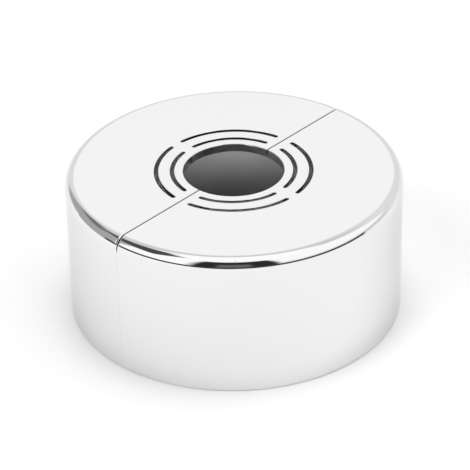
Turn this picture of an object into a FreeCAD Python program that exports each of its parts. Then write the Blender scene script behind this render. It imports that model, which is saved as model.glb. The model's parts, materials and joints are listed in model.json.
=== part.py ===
"""Split radiator pipe collar: two alike plated half shells that push together round a pipe.

The collar stands on its open end. Its origin is the centre of that end, +Z runs up the pipe through
the flat face, and the seam between the halves lies in the XZ plane. Each half is one moulding: half of
the face with its break-out slits, half of the skirt, two pins at one end of its seam and two sockets
at the other. The second half is the first one turned half a turn about the pipe, so that the pins of
each half enter the sockets of the other.

All sizes are in millimetres.
"""

import FreeCAD, Part

import math
import os

Vector = FreeCAD.Vector

# Overall form
OUTER_DIAMETER = 72.0
HEIGHT = 32.0
SKIRT_WALL = 2.0
FACE_WALL = 2.0
RIM_RADIUS = 2.5
BORE_CHAMFER = 0.2

# Pipes that the collar takes: the bore as moulded, then with one ring and with two rings broken out
BORE_PIPE = 21.3
FIRST_BREAK_OUT_PIPE = 26.9
SECOND_BREAK_OUT_PIPE = 33.7
PIPE_CLEARANCE = 0.2

# Slits round the bore, with the webs that hold the rings until they are broken out
SLIT_WIDTH = 0.9
WEB_WIDTH = 2.6
SLIT_TO_SEAM = 1.75

# Seam: closed on the skirt, with a shadow gap over the face and rim that runs out down the skirt
SKIRT_SEAM_GAP = 0.05
FACE_SEAM_GAP = 0.25
RELIEF_DEPTH = 3.2
RELIEF_RUN_OUT = 1.0

# Pins and sockets that hold the halves together
PIN_DIAMETER = 3.0
PIN_LENGTH = 4.5
PIN_TIP_CHAMFER = 0.5
PIN_CLEARANCE = 0.05
SOCKET_END_CLEARANCE = 0.5
BOSS_WALL = 1.1
BOSS_FLOOR = 1.4
BOSS_SINK = 0.5
LOWER_PIN_HEIGHT = 8.5
UPPER_PIN_HEIGHT = 21.5

# Room by which a cutting tool passes the faces that it cuts, and how near an edge counts as on a height
CUT_MARGIN = 1.0
ON_EDGE = 0.001

# Sizes that follow
OUTER_RADIUS = OUTER_DIAMETER / 2
INNER_RADIUS = OUTER_RADIUS - SKIRT_WALL
FACE_UNDERSIDE = HEIGHT - FACE_WALL
BORE_RADIUS = (BORE_PIPE + PIPE_CLEARANCE) / 2
BREAK_OUT_RADII = [(pipe + PIPE_CLEARANCE) / 2 for pipe in (FIRST_BREAK_OUT_PIPE, SECOND_BREAK_OUT_PIPE)]
SKIRT_SEAM_Y = SKIRT_SEAM_GAP / 2
FACE_SEAM_Y = FACE_SEAM_GAP / 2
PIN_RADIUS = PIN_DIAMETER / 2
SOCKET_RADIUS = PIN_RADIUS + PIN_CLEARANCE
SOCKET_DEPTH = PIN_LENGTH + SOCKET_END_CLEARANCE
BOSS_RADIUS = SOCKET_RADIUS + BOSS_WALL
BOSS_LENGTH = SOCKET_DEPTH + BOSS_FLOOR
BOSS_X = INNER_RADIUS + BOSS_SINK - BOSS_RADIUS
PIN_HEIGHTS = (LOWER_PIN_HEIGHT, UPPER_PIN_HEIGHT)

ORIGIN = Vector(0, 0, 0)
UP = Vector(0, 0, 1)
ACROSS_SEAM = Vector(0, 1, 0)


def closed_face(pieces):
    """A flat face inside line segments and arcs given in order round its edge."""
    return Part.Face(Part.Wire([piece.toShape() for piece in pieces]))


def line(start, end):
    """A straight piece of an outline."""
    return Part.LineSegment(start, end)


def collar_section():
    """The section through one side of the collar: bore, face, skirt and open end, before the rim is rounded."""
    def at(radius, height):
        return Vector(radius, 0, height)

    bore_low = at(BORE_RADIUS, FACE_UNDERSIDE)
    bore_high = at(BORE_RADIUS, HEIGHT - BORE_CHAMFER)
    face_in = at(BORE_RADIUS + BORE_CHAMFER, HEIGHT)
    rim = at(OUTER_RADIUS, HEIGHT)
    foot_out = at(OUTER_RADIUS, 0)
    foot_in = at(INNER_RADIUS, 0)
    inside_corner = at(INNER_RADIUS, FACE_UNDERSIDE)
    return closed_face([
        line(bore_low, bore_high),
        line(bore_high, face_in),
        line(face_in, rim),
        line(rim, foot_out),
        line(foot_out, foot_in),
        line(foot_in, inside_corner),
        line(inside_corner, bore_low),
    ])


def seam_tool():
    """What the seam takes off a half: a thin slice that widens over the face and the rim."""
    half_width = OUTER_RADIUS + CUT_MARGIN

    def at(across, height):
        return Vector(-half_width, across, height)

    relief_end = HEIGHT - RELIEF_DEPTH
    low_out = at(-CUT_MARGIN, -CUT_MARGIN)
    low_in = at(SKIRT_SEAM_Y, -CUT_MARGIN)
    run_out = at(SKIRT_SEAM_Y, relief_end - RELIEF_RUN_OUT)
    relief = at(FACE_SEAM_Y, relief_end)
    high_in = at(FACE_SEAM_Y, HEIGHT + CUT_MARGIN)
    high_out = at(-CUT_MARGIN, HEIGHT + CUT_MARGIN)
    section = closed_face([
        line(low_out, low_in),
        line(low_in, run_out),
        line(run_out, relief),
        line(relief, high_in),
        line(high_in, high_out),
        line(high_out, low_out),
    ])
    return section.extrude(Vector(2 * half_width, 0, 0))


def rim_edges(half):
    """The sharp edges where the face meets the skirt."""
    def on_rim(edge):
        box = edge.BoundBox
        return box.ZMin > HEIGHT - ON_EDGE and box.DiagonalLength > OUTER_DIAMETER - FACE_SEAM_GAP

    return [edge for edge in half.Edges if on_rim(edge)]


def slit_tool(outer_radius, first_angle, last_angle):
    """A round-ended slit through the face, between the angles of its end centres."""
    middle_radius = outer_radius - SLIT_WIDTH / 2
    inner_radius = outer_radius - SLIT_WIDTH
    floor = FACE_UNDERSIDE - CUT_MARGIN

    def at(radius, angle):
        return Vector(radius * math.cos(angle), radius * math.sin(angle), floor)

    def end_tip(angle, turn):
        """The outermost point of the half circle round an end centre, on the side that turn gives."""
        along = Vector(-math.sin(angle), math.cos(angle), 0)
        return at(middle_radius, angle) + along * (turn * SLIT_WIDTH / 2)

    middle_angle = (first_angle + last_angle) / 2
    outer_first, outer_last = at(outer_radius, first_angle), at(outer_radius, last_angle)
    inner_first, inner_last = at(inner_radius, first_angle), at(inner_radius, last_angle)
    outline = closed_face([
        Part.Arc(outer_first, at(outer_radius, middle_angle), outer_last),
        Part.Arc(outer_last, end_tip(last_angle, 1), inner_last),
        Part.Arc(inner_last, at(inner_radius, middle_angle), inner_first),
        Part.Arc(inner_first, end_tip(first_angle, -1), outer_first),
    ])
    return outline.extrude(UP * (FACE_WALL + 2 * CUT_MARGIN))


def slit_tools():
    """The four slits of a half: two in each ring, either side of the web in the middle of the half."""
    tools = []
    for outer_radius in BREAK_OUT_RADII:
        middle_radius = outer_radius - SLIT_WIDTH / 2
        seam_end = math.asin((FACE_SEAM_Y + SLIT_TO_SEAM + SLIT_WIDTH / 2) / middle_radius)
        web_end = math.pi / 2 - math.asin((WEB_WIDTH / 2 + SLIT_WIDTH / 2) / middle_radius)
        tools.append(slit_tool(outer_radius, seam_end, web_end))
        tools.append(slit_tool(outer_radius, math.pi - web_end, math.pi - seam_end))
    return tools


def boss(x, height):
    """A round boss on the inside of the skirt, square to the seam, with a blind end."""
    start = Vector(x, SKIRT_SEAM_Y, height)
    return Part.makeCylinder(BOSS_RADIUS, BOSS_LENGTH, start, ACROSS_SEAM)


def pin(x, height):
    """A pin that starts inside its boss, crosses the seam and ends in a chamfered tip."""
    straight = PIN_LENGTH - PIN_TIP_CHAMFER
    root = Vector(x, BOSS_FLOOR, height)
    shank = Part.makeCylinder(PIN_RADIUS, BOSS_FLOOR + straight, root, -ACROSS_SEAM)
    tip_start = Vector(x, -straight, height)
    tip_radius = PIN_RADIUS - PIN_TIP_CHAMFER
    tip = Part.makeCone(PIN_RADIUS, tip_radius, PIN_TIP_CHAMFER, tip_start, -ACROSS_SEAM)
    return shank.fuse(tip)


def socket_tool(x, height):
    """The blind hole that takes a pin of the other half."""
    lead = Vector(x, SKIRT_SEAM_Y - CUT_MARGIN, height)
    return Part.makeCylinder(SOCKET_RADIUS, SOCKET_DEPTH - lead.y, lead, ACROSS_SEAM)


def half_shell():
    """One half of the collar, on the +Y side of the seam, with its pins at the +X end."""
    half = collar_section().revolve(ORIGIN, UP, 180)
    half = half.cut(seam_tool())
    half = half.makeFillet(RIM_RADIUS, rim_edges(half))
    half = half.cut(Part.makeCompound(slit_tools()))
    bosses = [boss(side * BOSS_X, height) for side in (-1, 1) for height in PIN_HEIGHTS]
    pins = [pin(BOSS_X, height) for height in PIN_HEIGHTS]
    sockets = [socket_tool(-BOSS_X, height) for height in PIN_HEIGHTS]
    half = half.fuse(bosses + pins)
    half = half.cut(Part.makeCompound(sockets)).removeSplitter()
    return half.Solids[0]


def main():
    """Build both halves and write each to its own file."""
    os.makedirs("parts", exist_ok=True)
    rear = half_shell()
    front = rear.copy()
    front.rotate(ORIGIN, UP, 180)
    for name, half in (("rear_half_shell", rear), ("front_half_shell", front)):
        half.exportStep(f"parts/{name}.step")
        print(name, "valid", half.isValid(), "volume", round(half.Volume, 2), "faces", len(half.Faces))


main()
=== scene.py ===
"""Looks of a split chrome pipe collar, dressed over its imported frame.

The collar is two alike half shells of chrome-plated ABS that push together round a heating pipe. Each half
is one closed skin: the section of the wall carried half a turn about the pipe, with slits through the face,
every edge rounded, and bosses with pins or sockets along the seam. Lengths are millimetres until a mesh is
made, which is in metres, in the frame's own axes.
"""

from __future__ import annotations

import json
import logging
import math
from dataclasses import dataclass
from enum import Enum

import bpy
import numpy as np
from mathutils import Matrix, Vector

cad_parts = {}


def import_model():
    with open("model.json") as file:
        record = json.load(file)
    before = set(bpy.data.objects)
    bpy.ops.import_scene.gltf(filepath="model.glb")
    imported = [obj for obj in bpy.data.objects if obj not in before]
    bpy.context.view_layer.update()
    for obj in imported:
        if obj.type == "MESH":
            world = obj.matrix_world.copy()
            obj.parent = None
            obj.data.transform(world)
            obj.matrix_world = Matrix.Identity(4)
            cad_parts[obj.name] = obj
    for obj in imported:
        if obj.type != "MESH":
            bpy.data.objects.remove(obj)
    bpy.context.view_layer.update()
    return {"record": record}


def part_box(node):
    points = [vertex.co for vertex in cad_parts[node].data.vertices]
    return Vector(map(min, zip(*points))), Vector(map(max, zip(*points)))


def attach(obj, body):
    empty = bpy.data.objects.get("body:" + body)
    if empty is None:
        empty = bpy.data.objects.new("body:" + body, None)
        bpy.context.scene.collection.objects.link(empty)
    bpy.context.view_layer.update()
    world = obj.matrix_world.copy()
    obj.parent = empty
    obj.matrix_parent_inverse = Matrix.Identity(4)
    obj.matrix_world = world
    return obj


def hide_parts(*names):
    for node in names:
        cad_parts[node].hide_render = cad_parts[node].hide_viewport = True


log = logging.getLogger("pipe_collar")

MM = 0.001

# Values between which most of a noise pattern lies
NOISE_LOW, NOISE_HIGH = 0.3, 0.7

# Outward directions in a section, as shares of radius and height
AWAY, INWARD, UP, DOWN = (1.0, 0.0), (-1.0, 0.0), (0.0, 1.0), (0.0, -1.0)


class Half(Enum):
    """The two alike halves: piece, body, CAD node, and the sign that half a turn puts on X and Y."""

    REAR = ("rear_half_plated", "rear_half", "rear_half_shell", 1)
    FRONT = ("front_half_plated", "front_half", "front_half_shell", -1)

    def __init__(self, piece: str, body: str, node: str, turn: int) -> None:
        """Keep each half's names and turn as attributes."""
        self.piece, self.body, self.node, self.turn = piece, body, node, turn


class Plate(Enum):
    """Which plating a face shows: its number is the face's material slot."""

    BRIGHT = 0
    SATIN = 1


class Coupling(Enum):
    """What a boss carries: its number is the sign of X at that end of the rear half's seam."""

    PIN = 1
    SOCKET = -1


def linear(colour: str) -> tuple[float, float, float, float]:
    """Turn an sRGB colour into linear light.

    The curve is the standard one: straight near black, and above that a power of 2.4 of the shifted share.

    Args:
        colour: A hex value such as "#E4E6E8".

    Returns:
        Linear red, green and blue, and an alpha of 1.
    """
    shares = [int(colour[i:i + 2], 16) / 255 for i in (1, 3, 5)]
    lit = [s / 12.92 if s <= 0.04045 else ((s + 0.055) / 1.055) ** 2.4 for s in shares]
    return (*lit, 1.0)


def per_metre(size_mm: float) -> float:
    """Scale of a pattern whose features are size_mm across, on coordinates in metres."""
    return 1.0 / (size_mm * MM)


def add_node(tree: bpy.types.NodeTree, kind: str, inputs: dict | None = None, **settings) -> bpy.types.Node:
    """Add a node with its settings, values and links.

    Args:
        tree: The node tree that gets the node.
        kind: The node's type name.
        inputs: Values, or output sockets to link from, by the name or the number of an input.
        settings: Properties of the node.

    Returns:
        The new node.
    """
    node = tree.nodes.new(kind)
    for name, value in settings.items():
        setattr(node, name, value)
    for name, value in (inputs or {}).items():
        if isinstance(value, bpy.types.NodeSocket):
            tree.links.new(value, node.inputs[name])
        else:
            node.inputs[name].default_value = value
    return node


def add_noise(tree: bpy.types.NodeTree, place: bpy.types.NodeSocket, size_mm: float,
              detail: float) -> bpy.types.NodeSocket:
    """Add a noise pattern.

    Args:
        tree: The node tree that gets the pattern.
        place: Coordinates in metres.
        size_mm: How far across the pattern's features are.
        detail: How many finer layers it has.

    Returns:
        The pattern's value, from 0 to 1.
    """
    noise = add_node(tree, "ShaderNodeTexNoise",
                     {"Vector": place, "Scale": per_metre(size_mm), "Detail": detail})
    return noise.outputs["Fac"]


def add_spread(tree: bpy.types.NodeTree, noise: bpy.types.NodeSocket, low: float,
               high: float) -> bpy.types.NodeSocket:
    """Spread a noise pattern over a range of values.

    Args:
        tree: The node tree that gets the node.
        noise: The pattern's value.
        low: What the pattern's low parts become.
        high: What its high parts become.

    Returns:
        The value, from low to high.
    """
    spread = add_node(tree, "ShaderNodeMapRange",
                      {"Value": noise, "From Min": NOISE_LOW, "From Max": NOISE_HIGH,
                       "To Min": low, "To Max": high})
    return spread.outputs["Result"]


def add_relief(tree: bpy.types.NodeTree, noise: bpy.types.NodeSocket,
               height_mm: float) -> bpy.types.NodeSocket:
    """Raise a surface by a noise pattern.

    Args:
        tree: The node tree that gets the node.
        noise: The pattern's value.
        height_mm: How high the pattern's highest parts stand.

    Returns:
        The surface's direction with the pattern on it.
    """
    bump = add_node(tree, "ShaderNodeBump", {"Height": noise, "Distance": height_mm * MM})
    return bump.outputs["Normal"]


def add_math(tree: bpy.types.NodeTree, operation: str,
             *values: float | bpy.types.NodeSocket) -> bpy.types.NodeSocket:
    """Add a node that works out one operation on the values, and return its result."""
    return add_node(tree, "ShaderNodeMath", dict(enumerate(values)), operation=operation).outputs[0]


def new_material(name: str) -> tuple[bpy.types.Material, bpy.types.NodeTree]:
    """Make a material with an empty node tree.

    Args:
        name: Name of the material.

    Returns:
        The material and its node tree.
    """
    material = bpy.data.materials.new(name)
    material.use_nodes = True
    material.node_tree.nodes.clear()
    return material, material.node_tree


@dataclass(frozen=True)
class BrightChrome:
    """Decorative chrome over a polished ABS moulding: a clear, neutral mirror.

    The plate copies the moulding under it, so long swells of a few micrometres bend the reflections a little,
    and the polish changes in patches from a clear mirror to a very slight haze.
    """

    name: str = "bright_chrome_on_abs"
    colour: str = "#E7E7E7"
    edge: str = "#F2F2F2"
    roughness: tuple[float, float] = (0.025, 0.060)
    haze_mm: float = 7.0
    haze_detail: float = 3.0
    swell_mm: float = 16.0
    swell_detail: float = 0.0
    swell_height_mm: float = 0.004

    def material(self) -> bpy.types.Material:
        """Build the node material.

        Returns:
            The material.
        """
        material, tree = new_material(self.name)
        place = add_node(tree, "ShaderNodeTexCoord").outputs["Object"]
        haze = add_noise(tree, place, self.haze_mm, self.haze_detail)
        swell = add_noise(tree, place, self.swell_mm, self.swell_detail)
        plate = add_node(tree, "ShaderNodeBsdfPrincipled",
                         {"Base Color": linear(self.colour), "Metallic": 1.0,
                          "Specular Tint": linear(self.edge),
                          "Roughness": add_spread(tree, haze, *self.roughness),
                          "Normal": add_relief(tree, swell, self.swell_height_mm)})
        add_node(tree, "ShaderNodeOutputMaterial", {"Surface": plate.outputs["BSDF"]})
        return material


@dataclass(frozen=True)
class SatinPlate:
    """Plate on the core side of the moulding: the tool's fine texture leaves it satin bright.

    The bath reaches the inside badly, so the plate is a little thinner, greyer and duller there in soft
    patches, over a fine sandy grain.
    """

    name: str = "satin_plate_inside"
    thin: str = "#E3E3E3"
    full: str = "#EDEDED"
    thin_roughness: float = 0.12
    full_roughness: float = 0.06
    patch_mm: float = 9.0
    patch_detail: float = 2.0
    grain_mm: float = 0.5
    grain_detail: float = 2.0
    grain_height_mm: float = 0.0015

    def material(self) -> bpy.types.Material:
        """Build the node material.

        Returns:
            The material.
        """
        material, tree = new_material(self.name)
        place = add_node(tree, "ShaderNodeTexCoord").outputs["Object"]
        patch = add_noise(tree, place, self.patch_mm, self.patch_detail)
        grain = add_noise(tree, place, self.grain_mm, self.grain_detail)
        shade = add_node(tree, "ShaderNodeMix", {0: patch, 6: linear(self.thin), 7: linear(self.full)},
                         data_type="RGBA")
        plate = add_node(tree, "ShaderNodeBsdfPrincipled",
                         {"Base Color": shade.outputs[2], "Metallic": 1.0,
                          "Roughness": add_spread(tree, patch, self.thin_roughness, self.full_roughness),
                          "Normal": add_relief(tree, grain, self.grain_height_mm)})
        add_node(tree, "ShaderNodeOutputMaterial", {"Surface": plate.outputs["BSDF"]})
        return material


@dataclass(frozen=True)
class WhitePaper:
    """Matt white studio paper under the collar: even white that keeps a soft shadow."""

    name: str = "matt_white_studio_paper"
    colour: str = "#F7F7F7"

    def material(self) -> bpy.types.Material:
        """Build the node material.

        Returns:
            The material.
        """
        material, tree = new_material(self.name)
        paper = add_node(tree, "ShaderNodeBsdfDiffuse", {"Color": linear(self.colour)})
        add_node(tree, "ShaderNodeOutputMaterial", {"Surface": paper.outputs[0]})
        return material


def straight(start: tuple[float, float], end: tuple[float, float], outward: tuple[float, float],
             steps: int) -> np.ndarray:
    """Points at even steps along a straight line of a section.

    Args:
        start: First point, as two lengths in the section's plane.
        end: Last point.
        outward: Direction out of the material, the same all along.
        steps: Number of steps.

    Returns:
        One row a point: two lengths and the two shares of the outward direction.
    """
    share = np.linspace(0.0, 1.0, steps + 1)[:, None]
    points = np.array(start) * (1 - share) + np.array(end) * share
    return np.hstack([points, np.tile(np.array(outward), (steps + 1, 1))])


def rounded(centre: tuple[float, float], radius: float, first: float, last: float, steps: int,
            hollow: bool = False) -> np.ndarray:
    """Points at even angles on an arc: the centre plus the radius times the angle's cosine and sine.

    Args:
        centre: Centre of the arc.
        radius: Radius of the arc.
        first: First angle in degrees.
        last: Last angle in degrees.
        steps: Number of steps.
        hollow: Whether the material is outside the arc, so that outward is towards the centre.

    Returns:
        One row a point: two lengths and the two shares of the outward direction.
    """
    angle = np.radians(np.linspace(first, last, steps + 1))
    ray = np.stack([np.cos(angle), np.sin(angle)], axis=1)
    return np.hstack([np.array(centre) + radius * ray, -ray if hollow else ray])


def joined(*runs: np.ndarray) -> np.ndarray:
    """Join runs of section points end to end, each shared point once."""
    return np.vstack([runs[0], *(run[1:] for run in runs[1:])])


def grid_cells(numbers: np.ndarray) -> np.ndarray:
    """The four corners of each cell of a grid of point numbers, by row and column."""
    return np.stack([numbers[:-1, :-1], numbers[1:, :-1], numbers[1:, 1:], numbers[:-1, 1:]], axis=-1)


class Skin:
    """The points of one closed piece, the outward direction at each, and its faces."""

    def __init__(self) -> None:
        """Start with no points and no faces."""
        self.points = np.empty((0, 3))
        self.outward = np.empty((0, 3))
        self.faces: list[tuple[np.ndarray, Plate]] = []

    def add_points(self, points: np.ndarray, outward: np.ndarray) -> np.ndarray:
        """Add a grid of points.

        Args:
            points: Places, with x, y and z along the last axis.
            outward: Directions out of the material, of any length.

        Returns:
            The number of each point, in the grid's shape.
        """
        start = len(self.points)
        unit = outward / np.linalg.norm(outward, axis=-1, keepdims=True)
        self.points = np.vstack([self.points, points.reshape(-1, 3)])
        self.outward = np.vstack([self.outward, unit.reshape(-1, 3)])
        return np.arange(start, len(self.points)).reshape(points.shape[:-1])

    def add_faces(self, corners: np.ndarray, plate: Plate) -> None:
        """Add faces with the same number of corners, one a row."""
        self.faces.append((corners, plate))

    def add_grid(self, numbers: np.ndarray, plate: Plate, keep: np.ndarray | None = None) -> None:
        """Add a four-sided face for each cell of a grid of point numbers.

        Args:
            numbers: Point numbers in rows and columns.
            plate: What the cells show.
            keep: Which cells are there; all of them if it is not given.
        """
        cells = grid_cells(numbers)
        self.add_faces(cells.reshape(-1, 4) if keep is None else cells[keep], plate)

    def turned_out(self, corners: np.ndarray) -> np.ndarray:
        """Put each face's corners in the order that makes it look along its points' outward directions.

        A face's own direction is the sum of the cross products of neighbouring corners.

        Args:
            corners: Point numbers, one face a row.

        Returns:
            The same faces, some of them the other way round.
        """
        places = self.points[corners]
        facing = np.cross(places, np.roll(places, -1, axis=1)).sum(axis=1)
        backward = (facing * self.outward[corners].sum(axis=1)).sum(axis=1) < 0
        return np.where(backward[:, None], corners[:, ::-1], corners)

    def mesh(self, name: str, turn: int) -> bpy.types.Mesh:
        """Make the mesh, in metres, with the outward directions as its shading.

        Args:
            name: Name of the mesh.
            turn: Sign put on X and Y.

        Returns:
            The mesh, with a material number on each face.
        """
        way = np.array([turn, turn, 1.0])
        faces = [face for corners, _ in self.faces for face in self.turned_out(corners).tolist()]
        plates = np.concatenate([np.full(len(corners), plate.value) for corners, plate in self.faces])
        mesh = bpy.data.meshes.new(name)
        mesh.from_pydata(self.points * way * MM, [], faces)
        mesh.polygons.foreach_set("material_index", plates)
        mesh.polygons.foreach_set("use_smooth", np.ones(len(plates), bool))
        mesh.normals_split_custom_set_from_vertices((self.outward * way).tolist())
        mesh.update()
        return mesh


@dataclass(frozen=True)
class SeamBoss:
    """A round boss square to the seam, on the inside of the skirt, with a pin or a socket in its end.

    Its axis is from_axis away from the pipe's, and it runs from start to length, measured from the seam.
    """

    from_axis: float = 31.85
    heights: tuple[float, float] = (8.5, 21.5)
    radius: float = 2.65
    start: float = 0.1
    length: float = 6.4
    face_round: float = 0.2
    end_round: float = 0.5
    pin_radius: float = 1.5
    pin_reach: float = 4.5
    pin_tip: float = 0.5
    pin_root: float = 0.2
    socket_radius: float = 1.55
    socket_depth: float = 5.0
    socket_mouth: float = 0.3

    # Steps of the mesh round the axis and along the section
    columns: int = 48
    edge_steps: int = 5
    end_steps: int = 2
    core_steps: int = 3
    side_steps: int = 4

    def core(self, coupling: Coupling) -> np.ndarray:
        """Section of the pin or socket, from its end on the boss's axis out to the boss's face.

        Args:
            coupling: Whether the boss has a pin or a socket.

        Returns:
            Section rows of radius about the boss's axis and distance from the seam.
        """
        if coupling is Coupling.PIN:
            radius, tip, root = self.pin_radius, self.pin_tip, self.pin_root
            flat, end = radius - tip, -self.pin_reach
            return joined(
                straight((0, end), (flat, end), DOWN, self.end_steps),
                rounded((flat, end + tip), tip, -90, 0, self.edge_steps),
                straight((radius, end + tip), (radius, self.start - root), AWAY, self.core_steps),
                rounded((radius + root, self.start - root), root, 180, 90, self.edge_steps, hollow=True))
        radius, depth, mouth = self.socket_radius, self.socket_depth, self.socket_mouth
        corner = self.face_round
        return joined(
            straight((0, depth), (radius - corner, depth), DOWN, self.end_steps),
            rounded((radius - corner, depth - corner), corner, 90, 0, self.edge_steps, hollow=True),
            straight((radius, depth - corner), (radius, self.start + mouth), INWARD, self.core_steps),
            rounded((radius + mouth, self.start + mouth), mouth, 180, 270, self.edge_steps))

    def section(self, coupling: Coupling) -> np.ndarray:
        """Section of the whole boss, from one end of its axis to the other.

        Args:
            coupling: Whether the boss has a pin or a socket.

        Returns:
            Section rows of radius about the boss's axis and distance from the seam.
        """
        core = self.core(coupling)
        radius, edge, end = self.radius, self.face_round, self.end_round
        return joined(
            core,
            straight(tuple(core[-1, :2]), (radius - edge, self.start), DOWN, 1),
            rounded((radius - edge, self.start + edge), edge, -90, 0, self.edge_steps),
            straight((radius, self.start + edge), (radius, self.length - end), AWAY, self.side_steps),
            rounded((radius - end, self.length - end), end, 0, 90, self.edge_steps),
            straight((radius - end, self.length), (0, self.length), UP, self.end_steps))

    def add_to(self, skin: Skin, coupling: Coupling, height: float) -> None:
        """Turn the section about the boss's axis, which lies across the seam, and close both ends.

        Each section point goes round a circle: its radius times the turn's cosine is added to X and times
        the sine to Z, and its distance from the seam is Y.

        Args:
            skin: The half that gets the boss.
            coupling: Whether it has a pin or a socket.
            height: Height of its axis.
        """
        rows = self.section(coupling)
        turn = np.arange(self.columns) * (2 * math.pi / self.columns)
        x_share, z_share = np.cos(turn), np.sin(turn)
        middle = np.array([coupling.value * self.from_axis, 0.0, height])

        def carried(across: np.ndarray, along: np.ndarray) -> np.ndarray:
            """Carry lengths across and along the axis round the full turn."""
            return np.stack([across[:, None] * x_share, np.repeat(along[:, None], len(turn), axis=1),
                             across[:, None] * z_share], axis=-1)

        radius, distance, level, rise = rows[1:-1].T
        numbers = skin.add_points(carried(radius, distance) + middle, carried(level, rise))
        numbers = np.hstack([numbers, numbers[:, :1]])
        skin.add_grid(numbers, Plate.SATIN)
        for row, rim in ((rows[0], numbers[0]), (rows[-1], numbers[-1])):
            pole = skin.add_points(middle[None] + [0, row[1], 0], np.array([[0, row[3], 0]]))
            fan = np.stack([np.repeat(pole, self.columns), rim[:-1], rim[1:]], axis=1)
            skin.add_faces(fan, Plate.SATIN)


@dataclass(frozen=True)
class HalfShell:
    """One half of the collar on the +Y side of the seam: face, rim, skirt and slits, with its bosses.

    The gap of the seam starts to close at the end of the rim. At closing_depth under the face it is about
    half closed, and from closed_depth on it is tight.
    """

    outer_radius: float
    height: float
    bore_radius: float
    skirt_wall: float = 2.0
    face_wall: float = 2.0
    rim_radius: float = 2.5
    inner_corner: float = 0.8
    bore_edge: float = 0.2
    foot_edge: float = 0.3
    slit_middles: tuple[float, float] = (13.1, 16.5)
    slit_width: float = 0.9
    slit_edge: float = 0.1
    slit_to_seam: float = 1.75
    web_width: float = 2.6
    face_gap: float = 0.25
    skirt_gap: float = 0.012
    face_seam_round: float = 0.15
    rim_seam_round: float = 0.45
    skirt_seam_round: float = 0.01
    closing_depth: float = 2.9
    closed_depth: float = 3.4
    boss: SeamBoss = SeamBoss()

    # Steps of the mesh along the section, and round the turn in its five spans, two of which are slits
    edge_steps: int = 4
    near_steps: int = 2
    slit_steps: int = 10
    face_steps: int = 8
    rim_steps: int = 14
    skirt_steps: int = 6
    span_steps: tuple[int, ...] = (3, 44, 4, 44, 3)
    slit_spans: tuple[int, int] = (1, 3)

    @property
    def slit_reach(self) -> float:
        """Distance from a slit's middle line to where its rounded edge meets the face."""
        return self.slit_width / 2 + self.slit_edge

    @property
    def slit_starts(self) -> tuple[int, int]:
        """First section row of each slit on the face."""
        first = self.edge_steps + self.near_steps
        return first, first + self.slit_steps + self.near_steps

    def across_slit(self, middle: float, height: float, outward: tuple[float, float]) -> np.ndarray:
        """Section rows over a slit, at its middle radius less its reach times a cosine.

        Args:
            middle: Radius of the slit's middle line.
            height: Height of that side of the face.
            outward: Up for the face itself and down for its underside.

        Returns:
            Section rows from the slit's inner side to its outer side.
        """
        turn = np.linspace(0, math.pi, self.slit_steps + 1)
        radius = middle - self.slit_reach * np.cos(turn)
        flat = np.broadcast_to([height, *outward], (len(turn), 3))
        return np.hstack([radius[:, None], flat])

    def face_rows(self, height: float, outer: float, outward: tuple[float, float]) -> np.ndarray:
        """Section rows of one side of the face, from the bore's rounded edge to the corner with the skirt.

        Args:
            height: Height of that side.
            outer: Radius at which it ends.
            outward: Up for the face itself and down for its underside.

        Returns:
            Section rows from the bore outwards.
        """
        first, second = self.slit_middles
        reach, inner = self.slit_reach, self.bore_radius + self.bore_edge
        return joined(
            straight((inner, height), (first - reach, height), outward, self.near_steps),
            self.across_slit(first, height, outward),
            straight((first + reach, height), (second - reach, height), outward, self.near_steps),
            self.across_slit(second, height, outward),
            straight((second + reach, height), (outer, height), outward, self.face_steps))

    def section(self) -> np.ndarray:
        """The closed section of the wall: bore edge, face, rim, skirt, foot, then back up the inside.

        The rows out to the foot and the rows back match one to one, so that the seam can be closed between
        them.

        Returns:
            Section rows of radius, height and outward direction.
        """
        top, under = self.height, self.height - self.face_wall
        outer, inner = self.outer_radius, self.outer_radius - self.skirt_wall
        rim, corner, edge, foot = self.rim_radius, self.inner_corner, self.bore_edge, self.foot_edge
        closing, closed = top - self.closing_depth, top - self.closed_depth
        bore_in = self.bore_radius + edge
        way_out = joined(
            rounded((bore_in, top - edge), edge, 180, 90, self.edge_steps),
            self.face_rows(top, outer - rim, UP),
            rounded((outer - rim, top - rim), rim, 90, 0, self.rim_steps),
            straight((outer, top - rim), (outer, closing), AWAY, self.near_steps),
            straight((outer, closing), (outer, closed), AWAY, self.near_steps),
            straight((outer, closed), (outer, foot), AWAY, self.skirt_steps))
        way_round = joined(
            rounded((outer - foot, foot), foot, 0, -90, self.edge_steps),
            straight((outer - foot, 0), (inner + foot, 0), DOWN, 1),
            rounded((inner + foot, foot), foot, -90, -180, self.edge_steps))
        way_back = joined(
            straight((inner, foot), (inner, closed), INWARD, self.skirt_steps),
            straight((inner, closed), (inner, closing), INWARD, self.near_steps),
            straight((inner, closing), (inner, under - corner), INWARD, self.near_steps),
            rounded((inner - corner, under - corner), corner, 0, 90, self.rim_steps, hollow=True),
            self.face_rows(under, inner - corner, DOWN)[::-1],
            rounded((bore_in, under + edge), edge, 270, 180, self.edge_steps))
        return joined(way_out, way_round, way_back)

    def seam_fit(self, rows: np.ndarray) -> tuple[np.ndarray, np.ndarray]:
        """Half gap and edge radius of the seam in each section row.

        The gap is open over the face and the rim, closes from the rim's end on and is tight down the skirt.
        The edges are rounder over the rim by the sine of twice its slope, which is most half way round it and
        nothing on the face and skirt.

        Args:
            rows: Section rows.

        Returns:
            Half gaps and edge radii, one a row.
        """
        _, height, level, rise = rows.T
        run = [self.height - self.closed_depth, self.height - self.rim_radius]
        gap = np.interp(height, run, [self.skirt_gap / 2, self.face_gap / 2])
        edge = np.interp(height, run, [self.skirt_seam_round, self.face_seam_round])
        over_rim = 2 * level.clip(0) * rise.clip(0)
        return gap, edge + (self.rim_seam_round - self.face_seam_round) * over_rim

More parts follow.
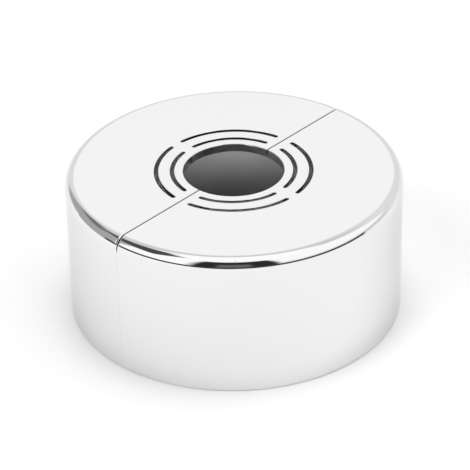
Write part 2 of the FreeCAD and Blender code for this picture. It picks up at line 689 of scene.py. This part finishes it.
    def angles(self, rows: np.ndarray, seam: np.ndarray) -> np.ndarray:
        """Angle of every point of the half's grid, apart from the seam's rounded edges.

        The columns keep to six angles in each row: the seam, both ends of the first slit, both ends of the
        second, and the seam again, with even steps between. A slit's end is the same distance from the seam
        or web at every radius, and in the rows over a slit it bulges by the reach times a sine, so that the
        ends are half round.

        Args:
            rows: Section rows.
            seam: Angle of the seam's edge in each row.

        Returns:
            Angles by row and column, in radians.
        """
        radius, bulge = rows[:, 0].copy(), np.zeros(len(rows))
        swell = self.slit_reach * np.sin(np.linspace(0, math.pi, self.slit_steps + 1))
        for start, middle in zip(self.slit_starts, self.slit_middles):
            over = np.arange(start, start + self.slit_steps + 1)
            for side in (over, len(rows) - 1 - over):
                radius[side], bulge[side] = middle, swell
        bulge = bulge / rows[:, 0]
        to_seam = self.face_gap / 2 + self.slit_to_seam + self.slit_width / 2
        to_web = (self.web_width + self.slit_width) / 2
        first = np.arcsin(to_seam / radius) - bulge
        last = math.pi / 2 - np.arcsin(to_web / radius) + bulge
        stops = np.stack([seam, first, last, math.pi - last, math.pi - first, math.pi - seam], axis=1)
        column = np.concatenate([[0], *(np.arange(1, n + 1) / n + i for i, n in enumerate(self.span_steps))])
        before = np.minimum(column.astype(int), len(self.span_steps) - 1)
        share = column - before
        return stops[:, before] * (1 - share) + stops[:, before + 1] * share

    def seam_edge(self, rows: np.ndarray, gap: np.ndarray, edge: np.ndarray) -> tuple[np.ndarray, np.ndarray]:
        """The rounded edge along the seam at the +X end, from the seam's flat up to the skin.

        At an angle from 90 degrees down, a point lies the edge radius times one less the sine from the flat,
        and the edge radius times one less the cosine under the skin.

        Args:
            rows: Section rows.
            gap: Half gap of the seam in each row.
            edge: Edge radius in each row.

        Returns:
            Points and outward directions by row and column.
        """
        skin_radius, skin_height, level, rise = rows.T[..., None]
        angle = np.linspace(math.pi / 2, 0, self.edge_steps + 1)[:-1]
        cos, sin = np.cos(angle), np.sin(angle)
        depth = edge[:, None] * (1 - cos)
        radius = skin_radius - level * depth
        y = gap[:, None] + edge[:, None] * (1 - sin)
        x = np.sqrt(radius ** 2 - y ** 2)
        points = np.stack([x, y, skin_height - rise * depth], axis=-1)
        flare = level * cos
        outward = np.stack([flare * x / radius, flare * y / radius - sin, rise * cos], axis=-1)
        return points, outward

    def surface(self, rows: np.ndarray, angles: np.ndarray, gap: np.ndarray,
                edge: np.ndarray) -> tuple[np.ndarray, np.ndarray]:
        """The half's grid, from the seam's flat at the +X end to the flat at the other end.

        Each section row is carried round the pipe: its radius times the angle's cosine and sine are X and Y.

        Args:
            rows: Section rows.
            angles: Angles by row and column, between the seam's edges.
            gap: Half gap of the seam in each row.
            edge: Edge radius in each row.

        Returns:
            Points and outward directions by row and column.
        """
        radius, height, level, rise = rows.T[..., None]
        cos, sin = np.cos(angles), np.sin(angles)
        body = np.stack([radius * cos, radius * sin, np.broadcast_to(height, cos.shape)], axis=-1)
        body_out = np.stack([level * cos, level * sin, np.broadcast_to(rise, cos.shape)], axis=-1)
        near, near_out = self.seam_edge(rows, gap, edge)
        mirrored = np.array([-1.0, 1.0, 1.0])
        points = np.concatenate([near, body, near[:, ::-1] * mirrored], axis=1)
        outward = np.concatenate([near_out, body_out, near_out[:, ::-1] * mirrored], axis=1)
        return points, outward

    def solid_cells(self, row_count: int) -> np.ndarray:
        """Find the cells of the half's grid that no slit takes away.

        Args:
            row_count: Number of section rows.

        Returns:
            True or false by row and column: false over the slits, on the face and on its underside.
        """
        solid = np.ones((row_count, sum(self.span_steps) + 2 * self.edge_steps), bool)
        for start in self.slit_starts:
            end = start + self.slit_steps
            for span in self.slit_spans:
                left = self.edge_steps + sum(self.span_steps[:span])
                across = slice(left, left + self.span_steps[span])
                solid[start:end, across] = False
                solid[row_count - 1 - end:row_count - 1 - start, across] = False
        return solid

    def slit_wall(self, middle: float, first: float, last: float,
                  steps: int) -> tuple[np.ndarray, np.ndarray]:
        """The wall of one slit through the face, with a rounded edge above and below.

        The wall follows the slit's outline, which is half the width from its middle line and half round at
        the ends. Along a rounded edge the distance from the middle line falls by a sine as the height leaves
        the face by a cosine.

        Args:
            middle: Radius of the slit's middle line.
            first: Angle of the centre of its first end.
            last: Angle of the centre of its last end.
            steps: Number of steps between the ends.

        Returns:
            Points and outward directions, by row down the wall and by column round the outline.
        """
        turn = np.linspace(0, math.pi, self.slit_steps + 1)
        share = np.arange(steps) / steps
        side = np.concatenate([-np.ones(steps), -np.cos(turn[:-1]), np.ones(steps), -np.cos(turn[:0:-1])])
        past = np.concatenate([np.zeros(steps), np.sin(turn[:-1]), np.zeros(steps), -np.sin(turn[:0:-1])])
        angle = np.concatenate([first + (last - first) * share, np.full(self.slit_steps, last),
                                last + (first - last) * share, np.full(self.slit_steps, first)])

        bend = np.linspace(0, math.pi / 2, self.edge_steps + 1)[1:]
        away = self.slit_reach - self.slit_edge * np.sin(bend)
        drop = self.slit_edge * (1 - np.cos(bend))
        away = np.concatenate([away, away[::-1]])[:, None]
        height = np.concatenate([self.height - drop, self.height - self.face_wall + drop[::-1]])[:, None]
        lean = np.concatenate([np.sin(bend), np.sin(bend)[::-1]])[:, None]
        rise = np.concatenate([np.cos(bend), -np.cos(bend)[::-1]])[:, None]

        radius = middle + away * side
        theta = angle + away * past / radius
        cos, sin = np.cos(theta), np.sin(theta)
        points = np.stack([radius * cos, radius * sin, np.broadcast_to(height, radius.shape)], axis=-1)
        outward = np.stack([-lean * (side * cos - past * sin), -lean * (side * sin + past * cos),
                            np.broadcast_to(rise, radius.shape)], axis=-1)
        return points, outward

    def add_slit(self, skin: Skin, numbers: np.ndarray, angles: np.ndarray, start: int, middle: float,
                 span: int) -> None:
        """Wall one slit, and join the wall to the slit's outline on the face and on its underside.

        Args:
            skin: The half that gets the wall.
            numbers: Point numbers of the half's grid.
            angles: Angles of the half's grid, without the seam's edges.
            start: First section row of the slit on the face.
            middle: Radius of the slit's middle line.
            span: Which of the spans round the turn the slit fills.
        """
        skip, steps = sum(self.span_steps[:span]), self.span_steps[span]
        first, last = angles[start, skip], angles[start, skip + steps]
        wall = skin.add_points(*self.slit_wall(middle, first, last, steps))
        left = self.edge_steps + skip
        columns = np.arange(left, left + steps + 1)
        above = np.arange(start, start + self.slit_steps + 1)

        def outline(rows: np.ndarray) -> np.ndarray:
            """Point numbers round the slit on one side of the face."""
            return np.concatenate([numbers[rows[0], columns[:-1]], numbers[rows[:-1], columns[-1]],
                                   numbers[rows[-1], columns[:0:-1]], numbers[rows[:0:-1], columns[0]]])

        loops = np.vstack([outline(above), wall, outline(len(numbers) - 1 - above)])
        skin.add_grid(np.hstack([loops, loops[:, :1]]), Plate.BRIGHT)

    def skin(self) -> Skin:
        """Work out the whole half.

        Returns:
            The closed skin of the half, bosses included.
        """
        skin = Skin()
        rows = self.section()
        gap, edge = self.seam_fit(rows)
        angles = self.angles(rows, np.arcsin((gap + edge) / rows[:, 0]))
        numbers = skin.add_points(*self.surface(rows, angles, gap, edge))

        # Rows from the bore out to the foot, which as many rows match on the way back
        matched = len(rows) // 2 - self.edge_steps
        ring = np.vstack([numbers, numbers[:1]])
        solid = self.solid_cells(len(rows))
        inside = np.zeros_like(solid)
        inside[-matched:-1 - self.edge_steps] = True
        skin.add_grid(ring, Plate.BRIGHT, solid & ~inside)
        skin.add_grid(ring, Plate.SATIN, solid & inside)

        for start, middle in zip(self.slit_starts, self.slit_middles):
            for span in self.slit_spans:
                self.add_slit(skin, numbers, angles, start, middle, span)
        for flat in (numbers[:, 0], numbers[:, -1]):
            skin.add_grid(np.stack([flat[:matched], flat[::-1][:matched]]), Plate.SATIN)
            skin.add_faces(flat[None, matched - 1:1 - matched], Plate.SATIN)
        for coupling in Coupling:
            for height in self.boss.heights:
                self.boss.add_to(skin, coupling, height)
        return skin


@dataclass(frozen=True)
class Collar:
    """The two halves as dressed pieces on their bodies."""

    shell: HalfShell
    bright: BrightChrome = BrightChrome()
    satin: SatinPlate = SatinPlate()

    def build(self) -> None:
        """Make both halves from one skin, the front half turned half a turn, and put them on their bodies."""
        skin = self.shell.skin()
        plates = [self.bright.material(), self.satin.material()]
        for half in Half:
            mesh = skin.mesh(half.piece, half.turn)
            for plate in plates:
                mesh.materials.append(plate)
            piece = bpy.data.objects.new(half.piece, mesh)
            bpy.context.scene.collection.objects.link(piece)
            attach(piece, half.body)
            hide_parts(half.node)
            log.info("%s: %d points, %d faces, on %s",
                     half.piece, len(mesh.vertices), len(mesh.polygons), half.body)


@dataclass(frozen=True)
class Card:
    """A soft-edged patch of the studio round the collar, as a mirror sees it.

    Angles are in degrees: azimuth to the right of the camera's view, elevation above the floor.
    """

    azimuth: float
    elevation: float
    half_width: float
    half_height: float
    soft: float
    level: float

    def soft_step(self, tree: bpy.types.NodeTree, angle: bpy.types.NodeSocket, middle: float,
                  half: float) -> bpy.types.NodeSocket:
        """Add the card's share along one of its two angles.

        The share is 1 within the half size, 0 outside it, and goes smoothly from one to the other over the
        soft edge.

        Args:
            tree: The node tree that gets the nodes.
            angle: The direction's azimuth or elevation, in radians.
            middle: The card's own azimuth or elevation.
            half: Half its width or height.

        Returns:
            The share.
        """
        off = add_math(tree, "SUBTRACT", angle, math.radians(middle))
        apart = add_math(tree, "ABSOLUTE", add_math(tree, "WRAP", off, math.pi, -math.pi))
        step = add_node(tree, "ShaderNodeMapRange",
                        {"Value": apart, "From Min": math.radians(half - self.soft),
                         "From Max": math.radians(half + self.soft), "To Min": 1.0, "To Max": 0.0},
                        interpolation_type="SMOOTHSTEP")
        return step.outputs[0]


@dataclass(frozen=True)
class Softbox:
    """A square soft lamp aimed at the collar, placed as a card is.

    It lights the paper. Mirrors show the cards instead.
    """

    name: str
    azimuth: float
    elevation: float
    watts: float
    distance: float = 1500.0
    size: float = 900.0


@dataclass(frozen=True)
class Studio:
    """White paper, the soft room round it, its lamps and the camera. Angles are in degrees."""

    # Camera: its place round the collar, what height it aims at, its lens and its roll
    azimuth: float = -47.6
    eye_distance: float = 461.5
    eye_height: float = 308.9
    aim_height: float = 15.5
    lens_mm: float = 194.0
    lean: float = 1.2

    # Paper: its radius, the radius of its innermost ring, and its mesh
    paper_radius: float = 3000.0
    paper_middle: float = 20.0
    paper_rings: int = 24
    paper_columns: int = 96
    paper: WhitePaper = WhitePaper()

    # Room: its plain level, what is laid over that, and the lamps
    room_level: float = 0.72
    cards: tuple[Card, ...] = (
        Card(12, 25, 52, 25, 8, 0.89),      # wide screen at the back
        Card(0, 33, 20, 8, 5, 1.13),        # its brightest part, which the face mirrors
        Card(-120, 38, 28, 32, 3, 1.22),    # left softbox
        Card(107, 45, 44, 26, 4, 1.18),     # right softbox
        Card(-68, 24, 30, 24, 5, 0.45),     # grey between the left softbox and the back
        Card(180, 30, 28, 30, 3, 0.03),     # dark room behind the camera
        Card(-179, 22, 11, 16, 3, 0.15),    # dim doorway in it
        Card(180, 5, 90, 7, 1.5, 0.06),     # dark skirting in front
        Card(0, 90, 180, 26, 3, 1.22),      # white ceiling
        Card(-84, 58, 32, 13, 3, 0.08),     # dark gap under the ceiling on the left
        Card(-54, 39, 15, 6, 4, 0.20),      # end of that gap, lower down
        Card(14, 0, 76, 5, 1, 1.0),         # paper sweep at the back
    )
    softboxes: tuple[Softbox, ...] = (
        Softbox("left_softbox", -122, 40, 5.8),
        Softbox("right_softbox", 107, 45, 1.2),
        Softbox("top_softbox", 0, 90, 4.8, size=500),
    )

    def direction(self, azimuth: float, elevation: float) -> Vector:
        """Unit vector from the collar, azimuth to the right of the camera's view."""
        turn, rise = math.radians(self.azimuth - azimuth), math.radians(elevation)
        return Vector((-math.sin(turn) * math.cos(rise), math.cos(turn) * math.cos(rise), math.sin(rise)))

    def lay_paper(self) -> None:
        """Lay a round sheet of paper: radius times the cosine and sine of the angle, on the foot's plane."""
        angle = np.linspace(0, 2 * math.pi, self.paper_columns, endpoint=False)
        radius = np.geomspace(self.paper_middle, self.paper_radius, self.paper_rings)[:, None]
        flat = np.zeros((self.paper_rings, self.paper_columns))
        points = np.stack([radius * np.cos(angle), radius * np.sin(angle), flat], axis=-1)
        numbers = np.arange(flat.size).reshape(flat.shape)
        cells = grid_cells(np.hstack([numbers, numbers[:, :1]]))
        mesh = bpy.data.meshes.new("paper")
        mesh.from_pydata(points.reshape(-1, 3) * MM, [],
                         [numbers[0].tolist(), *cells.reshape(-1, 4).tolist()])
        mesh.materials.append(self.paper.material())
        sheet = bpy.data.objects.new("paper", mesh)
        bpy.context.scene.collection.objects.link(sheet)

    def light_room(self) -> None:
        """Give the world a plain white level with the cards laid over it in order.

        A card's share is the product of two soft steps, one on how far the direction is from the card's
        azimuth and one on how far from its elevation.
        """
        world = bpy.data.worlds.new("studio_room")
        bpy.context.scene.world = world
        world.use_nodes = True
        tree = world.node_tree
        tree.nodes.clear()
        way = add_node(tree, "ShaderNodeTexCoord").outputs["Generated"]
        ahead = add_node(tree, "ShaderNodeVectorRotate",
                         {"Vector": way, "Angle": math.radians(-self.azimuth)}, rotation_type="Z_AXIS")
        parts = add_node(tree, "ShaderNodeSeparateXYZ", {0: ahead.outputs[0]}).outputs
        azimuth = add_math(tree, "ARCTAN2", parts["X"], parts["Y"])
        elevation = add_math(tree, "ARCSINE", parts["Z"])
        level = self.room_level
        for card in self.cards:
            across = card.soft_step(tree, azimuth, card.azimuth, card.half_width)
            upward = card.soft_step(tree, elevation, card.elevation, card.half_height)
            share = add_math(tree, "MULTIPLY", across, upward)
            level = add_node(tree, "ShaderNodeMix", {0: share, 2: level, 3: card.level}).outputs[0]
        room = add_node(tree, "ShaderNodeBackground", {"Color": linear("#FFFFFF"), "Strength": level})
        add_node(tree, "ShaderNodeOutputWorld", {"Surface": room.outputs[0]})

    def hang_softboxes(self) -> None:
        """Hang each softbox in its direction, aimed at the collar and hidden from mirrors."""
        for box in self.softboxes:
            lamp = bpy.data.lights.new(box.name, "AREA")
            lamp.energy, lamp.size = box.watts, box.size * MM
            hung = bpy.data.objects.new(box.name, lamp)
            way = self.direction(box.azimuth, box.elevation)
            hung.location = way * box.distance * MM
            hung.rotation_mode = "QUATERNION"
            hung.rotation_quaternion = way.to_track_quat("Z", "Y")
            hung.visible_glossy = False
            bpy.context.scene.collection.objects.link(hung)

    def set_camera(self) -> None:
        """Stand the camera where the photograph was taken from, facing the collar and leant by its roll."""
        data = bpy.data.cameras.new("camera")
        data.lens = self.lens_mm
        camera = bpy.data.objects.new("camera", data)
        turn = math.radians(self.azimuth)
        eye = Vector((math.sin(turn) * self.eye_distance, -math.cos(turn) * self.eye_distance,
                      self.eye_height))
        aim = Vector((0.0, 0.0, self.aim_height))
        facing = (aim - eye).to_track_quat("-Z", "Y").to_matrix().to_4x4()
        roll = Matrix.Rotation(math.radians(-self.lean), 4, "Z")
        camera.matrix_world = Matrix.Translation(eye * MM) @ facing @ roll
        bpy.context.scene.collection.objects.link(camera)
        bpy.context.scene.camera = camera

    def build(self) -> None:
        """Set up the whole studio."""
        bpy.context.scene.view_settings.view_transform = "Standard"
        self.lay_paper()
        self.light_room()
        self.hang_softboxes()
        self.set_camera()
        log.info("studio: paper, room with %d cards, %d softboxes and camera",
                 len(self.cards), len(self.softboxes))


def measured_shell(frame: dict) -> HalfShell:
    """Take the collar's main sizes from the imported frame.


    Returns:
        A half shell of the CAD's outer radius, height and bore.
    """
    low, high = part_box(Half.REAR.node)
    bore = next(mount for mount in frame["record"]["mounts"] if mount["name"] == "pipe_bore")
    return HalfShell(outer_radius=round((high.x - low.x) / 2 / MM, 3), height=round(high.z / MM, 3),
                     bore_radius=bore["dims"]["r_mm"])


def main() -> None:
    """Load the frame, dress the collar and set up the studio."""
    logging.basicConfig(level=logging.INFO, format="%(message)s")
    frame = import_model()
    Collar(measured_shell(frame)).build()
    Studio().build()


if __name__ == "__main__":
    main()
